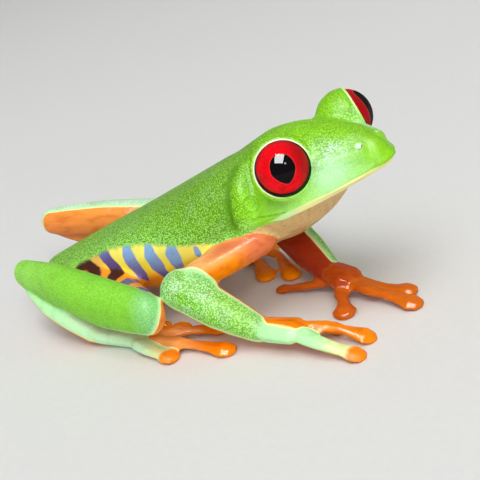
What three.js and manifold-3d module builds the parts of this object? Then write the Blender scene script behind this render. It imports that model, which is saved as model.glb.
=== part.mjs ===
// A red-eyed tree frog at life size, sitting with its head raised: a still model in millimetres.
// +X runs along the body towards the snout, +Y is the frog's left and +Z is up, with the floor at z = 0.
// The body is a set of lofts bent along curves. Neighbours are parted by thin cuts and meet face to face.
import * as THREE from "three";
import { mergeVertices } from "three/addons/utils/BufferGeometryUtils.js";
import Module from "manifold-3d";

const wasm = await Module();
wasm.setup();

// ---- Driving dimensions ----
const GAP = 0.3; // width of the cut between two neighbouring pieces
const EYE_RADIUS = 3.5; // eyeball
const EYE_GAP = 0.15; // between the eyeball and its socket
const EYE_AT = [-0.14, 6.62, -0.27]; // left eyeball's centre in the head's own frame
// Lids, per eye: from the eyeball's centre out to the plane of their rim, their outer radius, and how far
// their centre lies behind the eyeball's.
const LIDS = {
  right: { plane: 0.75, radius: 4.05, back: 0.35 },
  left: { plane: 1.45, radius: 3.8, back: 0.1 },
};
const WEB_HALF = 0.28; // half the thickness of the skin between fingers or toes
const BOX = 200; // side of the blocks that cut away a half space

const HEAD = { at: [22.3, -1.6, 23.4], yaw: -15, pitch: 3.5, roll: 6 };
const LOOK = { right: [42.2, 19.8], left: [50, 8] }; // each eye's opening faces out and up by these angles

const SKIN = { top: 0x6fc21c, flank: 0x5a78b8, belly: 0xf0dfc0, orange: 0xe8730f, eye: 0xc4101a };

// ---- Shapes ----
const vec = (p) => new THREE.Vector3(...p);

// A closed mesh without normals as a manifold-3d solid.
function solid(geometry) {
  const bare = geometry.clone();
  bare.deleteAttribute("normal");
  bare.deleteAttribute("uv");
  const merged = mergeVertices(bare, 1e-4);
  return new wasm.Manifold(
    new wasm.Mesh({
      numProp: 3,
      vertProperties: new Float32Array(merged.attributes.position.array),
      triVerts: new Uint32Array(merged.index.array),
    }),
  );
}

// A smooth curve through the rows of a table of three numbers.
const through = (rows) => new THREE.CatmullRomCurve3(rows.map(vec), false, "centripetal");

// Row i of n along a round-ended loft: where along the path, how full the section is, how far past the end.
function ring(i, n, cap) {
  const body = n - 2 * cap;
  if (i < cap) {
    const turn = ((i / cap) * Math.PI) / 2;
    return { t: 0, full: Math.sin(turn), past: -Math.cos(turn) };
  }
  if (i > n - cap) {
    const turn = (((n - i) / cap) * Math.PI) / 2;
    return { t: 1, full: Math.sin(turn), past: Math.cos(turn) };
  }
  return { t: (i - cap) / body, full: 1, past: 0 };
}

// Signed power, for sections between an ellipse and a box.
const spow = (x, p) => Math.sign(x) * Math.abs(x) ** p;

// A round-ended loft. path: points. sizes: rows of half width, height above and depth below the path.
// taper narrows the section towards its top and its underside, square makes it boxier, and dorsal is the side
// that counts as up.
function loft(shape, grow = 0) {
  const { path, sizes, taper = [0, 0], square = 2, dorsal = [0, 0, 1] } = shape;
  const { around = 12, along = 8, cap = 3, ends = [1, 1] } = shape;
  const route = through(path);
  const girth = through(sizes);
  const rows = along + 2 * cap;
  const geometry = new THREE.SphereGeometry(1, around, rows);
  const { position, uv } = geometry.attributes;
  for (let k = 0; k < position.count; k++) {
    const { t, full, past } = ring(Math.round((1 - uv.getY(k)) * rows), rows, cap);
    const centre = route.getPoint(t);
    const ahead = route.getTangent(t);
    const side = vec(dorsal).cross(ahead).normalize();
    const up = ahead.clone().cross(side);
    const size = girth.getPoint(t).addScalar(grow);
    const angle = 2 * Math.PI * uv.getX(k);
    const across = spow(Math.cos(angle), 2 / square);
    const rise = spow(Math.sin(angle), 2 / square);
    const narrow = 1 - taper[rise > 0 ? 0 : 1] * Math.abs(rise);
    const reach = past * (Math.min(size.x, size.y) * ends[past < 0 ? 0 : 1]);
    centre
      .addScaledVector(ahead, reach)
      .addScaledVector(side, size.x * across * narrow * full)
      .addScaledVector(up, (rise > 0 ? size.y : size.z) * rise * full);
    position.setXYZ(k, centre.x, centre.y, centre.z);
  }
  const made = solid(geometry);
  return made.volume() < 0 ? solid(flipped(geometry)) : made;
}

// The same mesh with its faces turned round.
function flipped(geometry) {
  const turned = geometry.clone();
  const index = turned.index.array;
  for (let i = 0; i < index.length; i += 3) [index[i + 1], index[i + 2]] = [index[i + 2], index[i + 1]];
  return turned;
}

function ball(centre, radii, around = 16, rows = 11) {
  const geometry = new THREE.SphereGeometry(1, around, rows);
  geometry.scale(...radii).translate(...centre);
  return solid(geometry);
}

// Everything on the far side of a plane, as a large block.
function beyond(point, normal) {
  const block = new THREE.BoxGeometry(BOX, BOX, BOX).translate(0, 0, BOX / 2);
  const turn = new THREE.Quaternion().setFromUnitVectors(new THREE.Vector3(0, 0, 1), vec(normal).normalize());
  return solid(block.applyQuaternion(turn).translate(...point));
}

const UNDER_FLOOR = beyond([0, 0, 0], [0, 0, -1]);

const join = (solids) => solids.reduce((a, b) => a.add(b));
const cut = (body, tools) => tools.reduce((a, b) => a.subtract(b), body);
const largest = (body) => body.decompose().reduce((a, b) => (b.volume() > a.volume() ? b : a));

// ---- Head, in its own frame: x forward, y left, z up, from midway between the eyes ----
const headFrame = new THREE.Matrix4().compose(
  vec(HEAD.at),
  new THREE.Quaternion().setFromEuler(
    new THREE.Euler(
      THREE.MathUtils.degToRad(HEAD.roll),
      -THREE.MathUtils.degToRad(HEAD.pitch),
      THREE.MathUtils.degToRad(HEAD.yaw),
      "ZYX",
    ),
  ),
  new THREE.Vector3(1, 1, 1),
);
const inHead = (p) => vec(p).applyMatrix4(headFrame).toArray();
const alongHead = (v) => vec(v).transformDirection(headFrame).toArray();

// Sections of the head at the lip line: x, height of the lip, half width, up to the crown, down to the
// throat.
const HEAD_ROWS = [
  [-13.0, -8.1, 7.9, 7.4, 5.6],
  [-9.6, -7.6, 8.7, 8.2, 5.8],
  [-6.4, -7.0, 9.0, 8.7, 5.1],
  [-3.2, -6.4, 8.8, 8.7, 4.1],
  [0.0, -5.8, 8.3, 8.4, 2.6],
  [3.0, -5.1, 7.3, 7.6, 1.2],
  [5.4, -4.4, 6.1, 6.6, 1.0],
  [7.4, -3.8, 4.8, 5.5, 0.9],
  [8.8, -3.4, 3.4, 4.5, 0.8],
  [9.7, -3.1, 2.0, 3.3, 0.7],
];
function headLoft(grow = 0) {
  return loft(
    {
      path: HEAD_ROWS.map(([x, lip]) => inHead([x, 0, lip])),
      sizes: HEAD_ROWS.map(([, , half, up, down]) => [half, up, down]),
      dorsal: alongHead([0, 0, 1]),
      taper: [0.3, 0.3],
      square: 2.25,
      around: 18,
      along: 13,
      cap: 3,
      ends: [1, 0.5],
    },
    grow,
  );
}

// side is 1 for the left and -1 for the right.
const eyeCentre = (side) => inHead([EYE_AT[0], side * EYE_AT[1], EYE_AT[2]]);
function gaze(side) {
  const [out, up] = (side > 0 ? LOOK.left : LOOK.right).map(THREE.MathUtils.degToRad);
  return alongHead([Math.cos(out) * Math.cos(up), side * Math.sin(out) * Math.cos(up), Math.sin(up)]);
}

function lidDome(side, grow = 0) {
  const lid = side > 0 ? LIDS.left : LIDS.right;
  const out = vec(gaze(side));
  const centre = vec(eyeCentre(side)).addScaledVector(out, -lid.back);
  const rim = vec(eyeCentre(side)).addScaledVector(out, lid.plane + grow);
  const dome = ball(centre.toArray(), Array(3).fill(lid.radius + grow));
  return dome.subtract(beyond(rim.toArray(), gaze(side)));
}

// The ridge from an eye to the nostril, in the head's frame, on the left.
const CANTHUS = { path: [[3.8, 4.3, -1.15], [6.0, 3.15, -1.2], [8.0, 2.0, -1.3]], radius: 1.02 };
function canthus(side, grow = 0) {
  const path = CANTHUS.path.map(([x, y, z]) => inHead([x, side * y, z]));
  const sizes = path.map(() => Array(3).fill(CANTHUS.radius));
  return loft({ path, sizes, around: 8, along: 2, cap: 2 }, grow);
}

// ---- Trunk ----
// Path of the trunk's middle and its half width, rise to the back and depth to the belly.
const TRUNK = {
  path: [
    [-26.4, -0.4, 6.4],
    [-20.0, -0.3, 7.6],
    [-12.0, 0, 9.4],
    [-4.0, 0, 11.6],
    [4.0, 0, 14.0],
    [10.5, -0.4, 16.1],
    [15.0, -0.9, 17.6],
  ],
  sizes: [
    [2.9, 2.4, 2.3],
    [5.4, 3.5, 3.4],
    [7.7, 4.5, 5.5],
    [8.9, 5.1, 7.7],
    [9.2, 5.7, 7.4],
    [8.6, 6.1, 7.0],
    [7.6, 5.6, 6.6],
  ],
  square: 2.15,
  around: 18,
  along: 10,
  cap: 3,
  ends: [1, 0.25],
};
const NECK = { at: [-9.3, 0, -4], normal: [-1, 0, -0.12] }; // in the head's frame
const MOUTH = { corner: [-6.2, 0, -6.95], rise: 0.227 }; // the mouth line climbs towards the snout

const brow = (side, grow) => lidDome(side, grow).add(canthus(side, grow));
const trunkAndHead = join([loft(TRUNK), headLoft(), brow(1, 0), brow(-1, 0)]);
const grownBody = join([loft(TRUNK, GAP), headLoft(GAP), brow(1, GAP), brow(-1, GAP)]);

const sockets = [1, -1].map((side) => ball(eyeCentre(side), Array(3).fill(EYE_RADIUS + EYE_GAP)));
const neckNormal = vec(NECK.normal).normalize();
const neckBack = beyond(inHead(NECK.at), alongHead(NECK.normal));
const neckFront = beyond(
  inHead(vec(NECK.at).addScaledVector(neckNormal, GAP).toArray()),
  alongHead(neckNormal.clone().negate().toArray()),
);

const mouthDown = vec([MOUTH.rise, 0, -1]).normalize();
const belowMouth = (drop) =>
  beyond(
    inHead(vec(MOUTH.corner).addScaledVector(mouthDown, drop).toArray()),
    alongHead(mouthDown.toArray()),
  );
const aheadOfCorner = (back) => beyond(inHead([MOUTH.corner[0] - back, 0, 0]), alongHead([1, 0, 0]));

const skullAndJaw = cut(trunkAndHead, [neckBack, ...sockets]);
const trunk = largest(cut(trunkAndHead, [neckFront]));
const lowerJaw = largest(skullAndJaw.intersect(belowMouth(GAP)).intersect(aheadOfCorner(0)));
const head = largest(skullAndJaw.subtract(belowMouth(0).intersect(aheadOfCorner(GAP))));

// ---- Limbs: joint positions, right then left ----
const RIGHT = {
  shoulder: [14.0, -6.6, 12.6],
  elbow: [3.5, -12.8, 9.4],
  wrist: [13.9, -12.4, 2.9],
  knuckles: [18.9, -12.6, 2.7],
  fingers: [
    [[17.0, -11.6, 2.2], [16.6, -9.6, 1.3], [16.0, -7.8, 0.55]],
    [[18.9, -11.2, 2.3], [20.6, -9.6, 1.6], [22.0, -8.3, 0.55]],
    [[19.4, -11.8, 3.0], [23.3, -10.9, 2.3], [26.8, -10.2, 0.7]],
    [[19.4, -13.2, 2.7], [23.5, -14.3, 1.9], [27.1, -14.3, 0.65]],
  ],
  hip: [-19.5, -3.8, 7.6],
  thigh: [-9.5, -9.0, 6.7],
  knee: [0.5, -16.2, 7.6],
  calf: [-12.5, -13.2, 9.2],
  heel: [-25.5, -8.8, 9.8],
  tarsus: [-20.0, -11.6, 5.8],
  instep: [-13.2, -12.1, 2.0],
  ball: [-4.4, -12.1, 1.15],
  toes: [
    [[-6.8, -11.0, 1.3], [-5.6, -9.2, 0.9], [-4.8, -7.6, 0.55]],
    [[-5.2, -11.3, 1.3], [-3.2, -9.8, 1.1], [-1.4, -8.4, 0.55]],
    [[-3.8, -12.0, 1.4], [0.4, -10.3, 1.3], [4.6, -8.4, 0.55]],
    [[-3.2, -12.9, 1.4], [2.4, -13.4, 1.3], [8.5, -13.7, 0.6]],
    [[-4.8, -13.7, 1.3], [-2.2, -14.9, 1.0], [0.9, -15.7, 0.6]],
  ],
};
const LEFT = {
  shoulder: [13.6, 5.6, 13.2],
  elbow: [7.0, 11.7, 5.6],
  wrist: [17.0, 3.0, 2.8],
  knuckles: [20.2, 1.5, 2.3],
  fingers: [
    [[17.2, 2.0, 1.7], [13.2, 1.9, 1.2], [9.3, 2.4, 0.55]],
    [[19.0, 0.8, 1.7], [20.4, -1.6, 1.3], [21.5, -4.0, 0.6]],
    [[20.3, 0.9, 2.0], [25.0, -0.9, 1.7], [30.0, -1.9, 0.6]],
    [[20.6, 2.0, 1.8], [24.5, 1.4, 1.0], [28.2, 1.5, 0.55]],
  ],
  hip: [-19.5, 3.4, 7.8],
  thigh: [-11.8, 8.6, 6.8],
  knee: [-5.0, 14.6, 7.2],
  calf: [-19.0, 10.6, 9.3],
  heel: [-32.4, 7.2, 11.0],
  tarsus: [-26.2, 9.6, 6.8],
  instep: [-16.6, 12.4, 2.0],
  ball: [-5.0, 14.0, 1.15],
  toes: [
    [[-6.4, 12.8, 1.3], [-6.8, 10.6, 0.9], [-7.2, 8.8, 0.55]],
    [[-5.2, 12.8, 1.3], [-4.7, 10.4, 1.1], [-4.1, 8.0, 0.55]],
    [[-4.2, 13.2, 1.4], [0.6, 10.9, 1.4], [4.5, 6.7, 0.55]],
    [[-3.6, 14.2, 1.4], [3.6, 12.0, 1.6], [8.7, 6.8, 0.6]],
    [[-4.4, 15.2, 1.3], [-2.0, 15.6, 1.1], [0.6, 15.9, 0.6]],
  ],
};

// Half width, height above and depth below along each limb piece.
const UPPER_ARM = [[2.0, 2.0, 2.0], [2.2, 2.1, 2.1], [1.8, 1.7, 1.7]];
const FOREARM = [[2.8, 2.5, 2.75], [2.6, 2.3, 3.0], [1.8, 1.6, 1.9]];
const PALM = [[1.9, 1.6, 1.55], [2.5, 1.5, 1.25]];
const THIGH = [[3.2, 2.8, 2.8], [2.9, 3.0, 3.0], [2.2, 2.3, 2.3]];
const SHANK = [[2.3, 2.7, 3.4], [2.7, 3.0, 4.5], [2.5, 3.2, 3.3], [1.8, 2.4, 2.1]];
const TARSUS = [[1.6, 1.7, 2.0], [1.6, 1.7, 1.8], [1.7, 1.4, 1.6]];
const SOLE = [[1.6, 1.2, 1.5], [2.0, 1.1, 1.3]];
// Digits are flat, with a fringe of skin that widens at each joint, and end in a round pad.
const DIGIT = [
  [1.1, 0.8, 0.8],
  [0.85, 0.7, 0.7],
  [1.15, 0.75, 0.7],
  [0.78, 0.55, 0.6],
  [1.05, 0.65, 0.6],
  [1.75, 0.85, 0.75],
];
const FIRST_DIGIT = [
  [0.9, 0.7, 0.7],
  [0.65, 0.55, 0.6],
  [0.85, 0.6, 0.6],
  [0.65, 0.5, 0.55],
  [1.15, 0.6, 0.6],
];
const LAST_DIGIT = [
  [1.4, 1.0, 1.0],
  [1.3, 0.85, 0.9],
  [1.15, 0.75, 0.8],
  [1.05, 0.6, 0.6],
  [1.65, 0.8, 0.7],
];
const WEB_REACH = { hand: 0.3, foot: 0.5 }; // share of the digits' length that the web spans

const digit = (points, grow, sizes = DIGIT) =>
  loft({ path: points, sizes, around: 6, along: 5, cap: 2, ends: [1, 2.0] }, grow);

// The skin between two neighbouring digits: a thin curved sheet with a hollowed free edge.
function web(a, b, reach) {
  const one = through(a);
  const other = through(b);
  const geometry = new THREE.BoxGeometry(1, 1, 1, 2, 2, 1);
  const { position } = geometry.attributes;
  for (let k = 0; k < position.count; k++) {
    const across = position.getX(k) + 0.5;
    const hollow = 1 - 0.45 * Math.sin(Math.PI * across);
    const t = (position.getY(k) + 0.5) * reach * hollow;
    const point = one.getPoint(t).lerp(other.getPoint(t), across);
    const lift = position.getZ(k) * 2 * WEB_HALF;
    position.setXYZ(k, point.x, point.y, Math.max(point.z - 0.1 + lift, lift + WEB_HALF + 0.05));
  }
  const made = solid(geometry);
  return made.volume() < 0 ? solid(flipped(geometry)) : made;
}

// A palm or sole with its digits and webs, over the floor.
function paw({ path, sizes, digits, reach }) {
  const pad = (grow = 0) => loft({ path, sizes, around: 8, along: 3, cap: 2 }, grow);
  const webs = digits.slice(1).map((d, i) => web(digits[i], d, reach));
  const base = join([pad(), ...webs]);
  const last = digits.length - 1;
  const girth = (i) => (i === 0 ? FIRST_DIGIT : i === last ? LAST_DIGIT : DIGIT);
  const made = (i, grow) => digit(digits[i], grow, girth(i));
  return {
    base: (others) => {
      const webbed = cut(base, [...digits.map((d, i) => made(i, GAP)), ...others, UNDER_FLOOR]);
      return largest(webbed.add(cut(pad(), [...others, UNDER_FLOOR])));
    },
    digits: (others) =>
      digits.map((d, i) => {
        const earlier = digits.slice(0, i).map((e, j) => made(j, GAP));
        return largest(cut(made(i), [pad(GAP), ...others, UNDER_FLOOR, ...earlier]));
      }),
  };
}

const nodes = [];
function node(name, body, color) {
  nodes.push({ name, body, color });
}

node("trunk", trunk, SKIN.top);
node("head", head, SKIN.top);
node("lower_jaw", lowerJaw, SKIN.belly);

for (const [side, name, pose] of [[-1, "right", RIGHT], [1, "left", LEFT]]) {
  node(`eye_${name}`, ball(eyeCentre(side), Array(3).fill(EYE_RADIUS)), SKIN.eye);

  const arm = { path: [pose.shoulder, pose.elbow], sizes: UPPER_ARM, around: 10, along: 4, cap: 2 };
  const fore = { path: [pose.elbow, pose.wrist], sizes: FOREARM, around: 12, along: 4, ends: [0.8, 1] };
  const palm = [pose.wrist, pose.knuckles];
  const hand = paw({ path: palm, sizes: PALM, digits: pose.fingers, reach: WEB_REACH.hand });
  node(`upper_arm_${name}`, largest(cut(loft(arm), [loft(fore, GAP), grownBody])), SKIN.orange);
  node(`forearm_${name}`, largest(cut(loft(fore), [grownBody])), SKIN.top);
  node(`hand_${name}`, hand.base([loft(fore, GAP)]), SKIN.orange);
  hand.digits([loft(fore, GAP)]).forEach((d, i) => node(`finger_${name}_${i + 1}`, d, SKIN.orange));

  const thigh = { path: [pose.hip, pose.thigh, pose.knee], sizes: THIGH, around: 10, along: 5, cap: 2 };
  const shank = { path: [pose.knee, pose.calf, pose.heel], sizes: SHANK, around: 12, along: 6 };
  const tarsus = { path: [pose.heel, pose.tarsus, pose.instep], sizes: TARSUS, around: 10, along: 4, cap: 2 };
  const sole = [pose.instep, pose.ball];
  const foot = paw({ path: sole, sizes: SOLE, digits: pose.toes, reach: WEB_REACH.foot });
  node(`shank_${name}`, largest(cut(loft(shank), [grownBody])), SKIN.top);
  node(`thigh_${name}`, largest(cut(loft(thigh), [loft(shank, GAP), grownBody])), SKIN.flank);
  const ankle = cut(loft(tarsus), [loft(shank, GAP), loft(thigh, GAP), grownBody]);
  node(`tarsus_${name}`, largest(ankle), SKIN.top);
  node(`foot_${name}`, foot.base([loft(tarsus, GAP)]), SKIN.orange);
  foot.digits([loft(tarsus, GAP)]).forEach((d, i) => node(`toe_${name}_${i + 1}`, d, SKIN.orange));
}

// ---- The frog, with its origin on the floor under the middle of its box ----
const frog = new THREE.Group();
for (const { name, body, color } of nodes) {
  const { vertProperties, triVerts } = body.getMesh();
  const geometry = new THREE.BufferGeometry()
    .setAttribute("position", new THREE.BufferAttribute(vertProperties, 3))
    .setIndex(new THREE.BufferAttribute(triVerts, 1));
  const finish = new THREE.MeshStandardMaterial({ color, roughness: 0.35, metalness: 0 });
  const mesh = new THREE.Mesh(geometry, finish);
  mesh.name = name;
  frog.add(mesh);
}
const extent = new THREE.Box3().setFromObject(frog);
const middle = extent.getCenter(new THREE.Vector3());
frog.position.set(-middle.x, -middle.y, -extent.min.z);

export default frog;
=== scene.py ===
"""Red-eyed tree frog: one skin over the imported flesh, two eyes and their lid rims, and a plain studio."""

import contextlib
import math

import bmesh
import bpy
import numpy as np
from mathutils import Matrix, Vector
from mathutils.bvhtree import BVHTree


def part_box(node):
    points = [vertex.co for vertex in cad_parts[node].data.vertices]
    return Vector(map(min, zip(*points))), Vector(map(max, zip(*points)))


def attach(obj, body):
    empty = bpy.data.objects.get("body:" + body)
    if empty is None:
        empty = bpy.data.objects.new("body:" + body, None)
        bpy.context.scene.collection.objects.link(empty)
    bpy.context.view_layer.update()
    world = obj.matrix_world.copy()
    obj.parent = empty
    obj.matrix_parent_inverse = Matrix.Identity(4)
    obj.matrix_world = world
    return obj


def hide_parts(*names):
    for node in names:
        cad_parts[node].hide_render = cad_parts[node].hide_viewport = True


bl_info = {
    "name": "Red-eyed tree frog",
    "version": (1, 0, 0),
    "blender": (4, 5, 0),
    "location": "View3D > Sidebar > Tree frog",
    "description": "The skin, eyes and lid rims of a life-size red-eyed tree frog, and a studio for it",
    "category": "Object",
}

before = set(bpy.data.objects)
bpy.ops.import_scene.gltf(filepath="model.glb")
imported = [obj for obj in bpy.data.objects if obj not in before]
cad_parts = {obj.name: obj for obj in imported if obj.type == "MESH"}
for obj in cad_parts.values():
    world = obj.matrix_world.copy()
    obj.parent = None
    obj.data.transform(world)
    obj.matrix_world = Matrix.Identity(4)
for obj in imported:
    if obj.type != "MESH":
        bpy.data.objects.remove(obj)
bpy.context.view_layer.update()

MM = 0.001
SIDES = {"right": -1.0, "left": 1.0}
EYES = {side: "eye_" + side for side in SIDES}
FLESH = [name for name in sorted(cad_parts) if name not in EYES.values()]
DIGITS = [name for name in FLESH if name.startswith(("finger", "toe"))]

# The head's own frame, x forward, y left, z up: how it is turned, and where an eye's centre is in it (mm).
HEAD_YAW = -15.0
HEAD_PITCH = 3.5
HEAD_ROLL = 6.0
EYE_IN_HEAD = (-0.14, 6.62, -0.27)
# How far out from straight ahead and how far up each eye's opening faces, in degrees.
LOOK = {"right": (42.2, 19.8), "left": (50.0, 8.0)}

# The mouth line, the lip's top, the throat's upper edge and a crease whose shade is painted as a dark line,
# as heights over the head's x (mm).
MOUTH_CORNER = (-6.2, -6.95)
MOUTH_RISE = 0.227
JAW_ANGLE = (-8.9, -8.1)
LIP_TOP = (
    (-6.2, -6.8), (-3.0, -6.0), (0.0, -5.2), (2.9, -4.45),
    (5.4, -3.9), (7.65, -3.3), (9.6, -3.0), (12.0, -2.9),
)
THROAT_TOP = (
    (-9.0, -8.0), (-6.1, -7.3), (-3.9, -6.8), (-1.1, -6.4),
    (0.5, -5.9), (3.4, -5.1), (5.3, -4.7), (8.0, -4.3),
)
CREASE = ((-7.0, -6.05), (-4.3, -5.8), (-1.3, -5.42), (1.2, -5.07))
NOSTRIL = (8.2, 1.9, -0.2)
EARDRUM = (-6.1, 8.3, -4.15)
EARDRUM_RADIUS = 1.0
NECK_FOLD_X = -9.0
# What is sculpted round the nostril and the eardrum: height, radius and width of each ring or pit (mm).
NOSTRIL_RINGS = ((0.12, 0.55, 0.3), (-0.28, 0.0, 0.25))
EARDRUM_RINGS = ((0.06, EARDRUM_RADIUS, 0.2), (-0.07, 0.0, 0.8))
# How far the rest of the head's sculpting goes in or out (mm). The chin goes in at the rear, then in front.
GROOVE_DEPTH = 0.14
LIP_HEIGHT = 0.08
FOLD_DEPTH = 0.4
SWELL_HEIGHT = 0.04
CHIN_DEPTHS = (0.65, 0.6)
# Painted light laid on the head: a paler cheek that lifts the shade under the eye, a painted mint sheen on
# the lores and a painted highlight on the jaw's angle. Each has tone, strength, middle and half widths in x
# and z, and from where to where out from the head's middle it comes in (mm). The last comes in everywhere.
HEAD_PAINTED_LIGHT = (
    ("lime", 0.95, (1.0, -4.9), (4.2, 1.5), (3.5, 5.5)),
    ("mint", 1.15, (5.3, -2.2), (2.6, 2.4), (1.0, 2.6)),
    ("lime", 0.8, (-7.4, -6.9), (1.5, 1.1), (-2.0, -1.0)),
)

# The flank: the height of the green's lower edge and of the belly's upper edge over x (mm).
FLANK_X = (-24.0, -20.0, -17.0, -13.0, -9.9, -5.7, -1.8, 3.8, 8.6, 12.0, 16.0)
FLANK_TOP = (4.6, 7.0, 9.9, 11.2, 12.4, 13.2, 13.6, 13.4, 13.4, 13.2, 13.0)
BELLY_TOP = (1.0, 2.0, 3.6, 4.4, 4.8, 5.4, 6.2, 7.6, 9.0, 11.0, 12.0)
# The dark patches between the yellow bars, from the rear: how blue each is, then its middle line down the
# flank as x, height and half width (mm).
PATCHES = (
    (0.0, ((-17.0, 9.6, 0.5), (-14.8, 10.1, 0.6), (-12.6, 9.6, 0.55), (-10.6, 8.8, 0.4))),
    (0.42, ((-11.9, 11.9, 0.7), (-10.3, 11.2, 1.0), (-8.4, 9.9, 0.85), (-6.9, 8.6, 0.5))),
    (0.85, ((-6.0, 13.1, 0.85), (-5.7, 12.0, 1.2), (-5.2, 10.7, 1.2), (-4.5, 9.2, 0.9), (-4.3, 8.0, 0.4))),
    (0.95, ((-1.6, 13.1, 0.85), (-1.5, 11.9, 1.2), (-1.2, 10.5, 1.2), (-0.9, 9.2, 0.8), (-1.0, 8.2, 0.4))),
    (1.0, ((2.3, 13.1, 0.8), (2.1, 12.0, 1.15), (2.1, 10.8, 1.0), (2.0, 9.6, 0.6))),
    (1.0, ((6.0, 12.9, 0.45), (6.0, 12.0, 0.65))),
)

# The side of each limb that wears green, as a direction, and how far round the green reaches: 1 is nowhere,
# -1 all over.
COATS = {
    "forearm_right": ((0.34, -0.80, 0.50), 0.34),
    "forearm_left": ((0.35, 0.85, 0.38), 0.50),
    "hand_right": ((0.0, -0.98, 0.18), 0.52),
    "shank_right": ((-0.2, -0.7, 0.68), 0.0),
    "shank_left": ((-0.2, 0.75, 0.62), 0.06),
    "tarsus_right": ((0.37, -0.49, 0.79), 0.22),
    "tarsus_left": ((0.37, 0.49, 0.79), 0.22),
    "foot_right": ((0.0, -1.0, 0.35), -0.05),
    "foot_left": ((0.0, 1.0, 0.35), 0.25),
    "finger_right_4": ((0.0, -0.6, 0.8), -0.05),
    "toe_right_5": ((-0.1, -0.6, 0.8), -0.15),
    "toe_left_5": ((-0.1, 0.6, 0.8), -0.15),
}

# The green cap over the elbow: its middle and its radius (mm).
ELBOW = (6.9, -12.15, 9.2)
ELBOW_CAP = 2.55
# The range that the coat's value keeps to.
COAT_RANGE = (-0.5, 0.6)
# Outer digits that are mint at the root and cream at the tip, and the length of a digit's tip (mm).
PALE_DIGITS = ("finger_right_4", "toe_right_5", "toe_left_5")
TIP_LENGTH = 1.4
# The direction that the top of the upper arm faces.
OVERHEAD = (0.04, 0.45, 0.89)

# Parts that join at a bone and share their skin. Any other two are kept apart where they come close.
JOINED = (
    {"trunk", "head", "lower_jaw", "upper_arm", "thigh"},
    {"upper_arm", "forearm"},
    {"forearm", "hand", "finger"},
    {"thigh", "shank", "tarsus"},
    {"tarsus", "foot", "toe"},
)
BODY = ("trunk", "head", "lower_jaw")

# By kind of solid: how granular its skin is, and how far it follows the first and the broad smoothing.
GRANULARITY = {
    "trunk": 1.0, "head": 1.0, "lower_jaw": 0.6, "upper_arm": 0.7, "forearm": 0.8, "thigh": 0.6, "shank": 0.35
}
GRAIN_ELSEWHERE = 0.12
SOFTNESS = {"finger": 0.3, "toe": 0.3, "hand": 0.5, "foot": 0.5}
BROADNESS = {"trunk": 1.0, "thigh": 0.6, "shank": 0.6, "upper_arm": 0.6, "forearm": 0.5}
# How much of a closed gap is pushed back, the longest edges of flesh to grow, and what merges as one point.
CLOSED = 0.72
BODY_EDGE = 0.9 * MM
LIMB_EDGE = 0.5 * MM
MERGED = 0.001 * MM

# The materials' noises: scale per metre, detail and roughness.
NOISES = {
    "wander": (900.0, 3.0),
    "broad": (170.0, 3.0),
    "blotch": (480.0, 3.0),
    "streak": (1300.0, 3.0),
    "wrinkle": (1500.0, 3.0, 0.65),
    "fold": (620.0, 3.0, 0.62),
    "crease": (1700.0, 2.0),
    "iris_streaks": (2600.0, 4.0, 0.7),
    "iris_blotch": (900.0, 3.0),
    "lid": (1800.0, 3.0),
    "paper": (900.0, 2.0),
}
VEIN_SCALE = 520.0
STREAK_STRETCH = (0.14, 1.0, 0.8)
STREAK_TINT = (0.86, 0.70, 0.66)
WRINKLE_TINT = (0.68, 0.56, 0.48)
# The nostril's slit is painted dark as its shade.
SLIT_SHADE = (0.10, 0.09, 0.08)
EYE_BLACK = (0.003, 0.002, 0.003)
LID_CREAM = (0.84, 0.92, 0.62)
PAPER_TONES = ((0.74, 0.74, 0.73), (0.78, 0.78, 0.77))
# How far the iris's edge is centred above the eye's axis, over the radius, how pointed each pupil is below,
# and how cream each rim is.
IRIS_LIFT = 0.055
POINTED = {"right": 1.0, "left": 0.3}
RIM_CREAM = {"right": 1.0, "left": 0.5}

# The lid rims' steps round the eye and round the bead, and the nodes that sweep them.
RIM_STEPS = 96
RIM_SIDES = 16
RIM_NODES = (
    "NodeGroupInput",
    "GeometryNodeMeshToCurve",
    "GeometryNodeCurvePrimitiveCircle",
    "GeometryNodeCurveToMesh",
    "GeometryNodeRealizeInstances",
    "GeometryNodeSetMaterial",
    "NodeGroupOutput",
)

# What the camera and the lamps look at (mm), and the lamps' distance from it (m).
CAMERA_TARGET = (10.4, -4.65, 12.0)
LAMP_REACH = 1.5

LID_TEXT = "How far in front of the eye's centre the lid rim lies"
PUPIL_TEXT = "Half width of the pupil over the eyeball's radius"
TALL_TEXT = "Height of the pupil over its width"
LEAD_TEXT = "How far forward of the iris's middle the pupil sits"
DROP_TEXT = "How far under the iris's middle the pupil sits"


def eye_radius():
    """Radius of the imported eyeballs, in metres."""
    low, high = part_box(EYES["right"])
    return (high[1] - low[1]) / 2


EYE_RADIUS = eye_radius()


def colour(name, text, value):
    """A colour that a user may change, in linear values."""
    return bpy.props.FloatVectorProperty(
        name=name, description=text, default=value, subtype="COLOR", size=3, min=0.0, max=1.0
    )


def length(name, text, value):
    """A length that a user may change, in metres."""
    return bpy.props.FloatProperty(
        name=name, description=text, default=value, min=0.0, subtype="DISTANCE", unit="LENGTH"
    )


def number(name, text, value, low=0.0, high=1000.0):
    """A plain number that a user may change."""
    return bpy.props.FloatProperty(name=name, description=text, default=value, min=low, max=high)


class FrogSkinSettings(bpy.types.PropertyGroup):
    """Sizes of the skin and of its grain."""

    voxel: length("Skin mesh", "Edge length of the skin's mesh", 0.23 * MM)
    seam: length("Seam overlap", "How far each flesh solid grows before they are joined", 0.18 * MM)
    under_eye: length("Under the eye", "How deep the skin runs beneath an eyeball", 0.3 * MM)
    apart: length("Clear space", "Gap kept between two parts that don't share a joint", 0.74 * MM)
    rounds: bpy.props.IntProperty(name="Smoothing", description="Rounds of smoothing", default=34, min=0)
    granule: length("Granule", "Spacing of the skin's granules", 0.225 * MM)
    relief: length("Relief", "Height of the granules", 0.045 * MM)


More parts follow.
